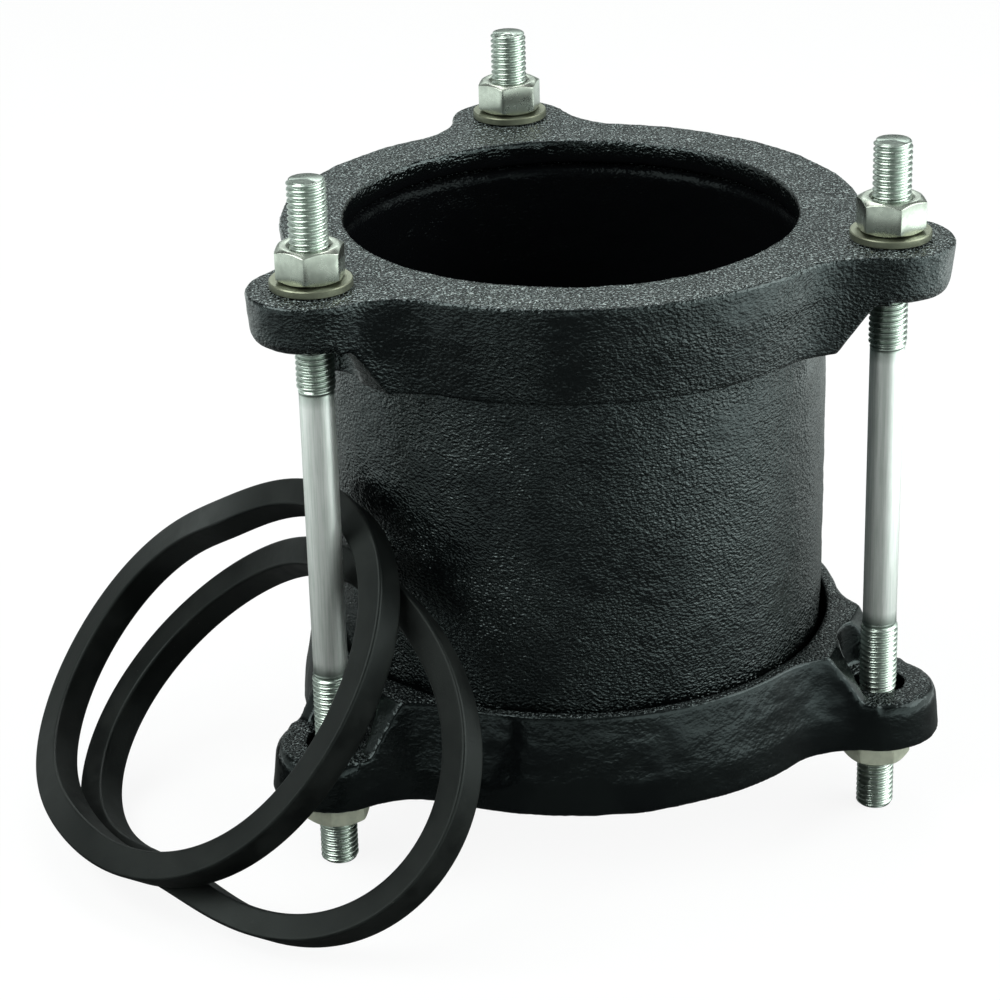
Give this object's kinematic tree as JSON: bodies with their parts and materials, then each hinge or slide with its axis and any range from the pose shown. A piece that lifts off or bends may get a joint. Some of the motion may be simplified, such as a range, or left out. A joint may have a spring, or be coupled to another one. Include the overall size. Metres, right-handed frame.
{
  "type": "gibault joint",
  "caption": "Sliding clamp coupling for plain pipe ends: lugged ring glands drawn over a loose cast sleeve by long studs and hexagon nuts, with rubber sealing rings.",
  "frame": {"origin": "on the pipe axis, half way between the outer faces of the glands", "axes": "+Z along the pipe axis towards the gland with the washers, +Y towards the rear lug, +X to the right-hand side"},
  "size_m": [0.2416, 0.2087, 0.191],
  "materials": {
    "black_gland": "glossy black coating on cast iron",
    "black_sleeve": "glossy black coating on rough cast iron",
    "zinc_steel": "bright zinc plating",
    "passivated_washer": "dull yellow-grey zinc plating",
    "sealing_rubber": "matt moulded rubber"
  },
  "bodies": {
    "studs_and_sleeve": {"stud_rear": "zinc_steel", "stud_left": "zinc_steel", "stud_right": "zinc_steel", "sleeve": "black_sleeve", "seal_ring_upper": "sealing_rubber", "seal_ring_lower": "sealing_rubber"},
    "upper_gland": {"top_gland": "black_gland", "washer_rear": "passivated_washer", "washer_left": "passivated_washer", "washer_right": "passivated_washer"},
    "lower_gland": {"bottom_gland": "black_gland"},
    "upper_nut_rear": {"top_nut_rear": "zinc_steel"},
    "upper_nut_left": {"top_nut_left": "zinc_steel"},
    "upper_nut_right": {"top_nut_right": "zinc_steel"},
    "lower_nut_rear": {"bottom_nut_rear": "zinc_steel"},
    "lower_nut_left": {"bottom_nut_left": "zinc_steel"},
    "lower_nut_right": {"bottom_nut_right": "zinc_steel"}
  },
  "joints": [
    {"name": "top_gland_travel", "type": "slide", "parent": "studs_and_sleeve", "child": "upper_gland", "axis": [0, 0, 1], "range_m": [0, 0.012]},
    {"name": "bottom_gland_travel", "type": "slide", "parent": "studs_and_sleeve", "child": "lower_gland", "axis": [0, 0, -1], "range_m": [0, 0.008]},
    {"name": "top_nut_rear_turn", "type": "hinge", "parent": "upper_gland", "child": "upper_nut_rear", "pos_m": [0, 0.085, 0.0761], "axis": [0, 0, 1], "range_deg": [0, 2881]},
    {"name": "top_nut_left_turn", "type": "hinge", "parent": "upper_gland", "child": "upper_nut_left", "pos_m": [-0.07361, -0.0425, 0.0761], "axis": [0, 0, 1], "range_deg": [0, 2881]},
    {"name": "top_nut_right_turn", "type": "hinge", "parent": "upper_gland", "child": "upper_nut_right", "pos_m": [0.07361, -0.0425, 0.0761], "axis": [0, 0, 1], "range_deg": [0, 2881]},
    {"name": "bottom_nut_rear_turn", "type": "hinge", "parent": "lower_gland", "child": "lower_nut_rear", "pos_m": [0, 0.085, -0.0741], "axis": [0, 0, -1], "range_deg": [0, 1921]},
    {"name": "bottom_nut_left_turn", "type": "hinge", "parent": "lower_gland", "child": "lower_nut_left", "pos_m": [-0.07361, -0.0425, -0.0741], "axis": [0, 0, -1], "range_deg": [0, 1921]},
    {"name": "bottom_nut_right_turn", "type": "hinge", "parent": "lower_gland", "child": "lower_nut_right", "pos_m": [0.07361, -0.0425, -0.0741], "axis": [0, 0, -1], "range_deg": [0, 1921]}
  ],
  "couplings": [
    {"joint": "top_nut_rear_turn", "follows": "top_gland_travel", "rad_per_m": 4188.8},
    {"joint": "top_nut_left_turn", "follows": "top_gland_travel", "rad_per_m": 4188.8},
    {"joint": "top_nut_right_turn", "follows": "top_gland_travel", "rad_per_m": 4188.8},
    {"joint": "bottom_nut_rear_turn", "follows": "bottom_gland_travel", "rad_per_m": 4188.8},
    {"joint": "bottom_nut_left_turn", "follows": "bottom_gland_travel", "rad_per_m": 4188.8},
    {"joint": "bottom_nut_right_turn", "follows": "bottom_gland_travel", "rad_per_m": 4188.8}
  ]
}
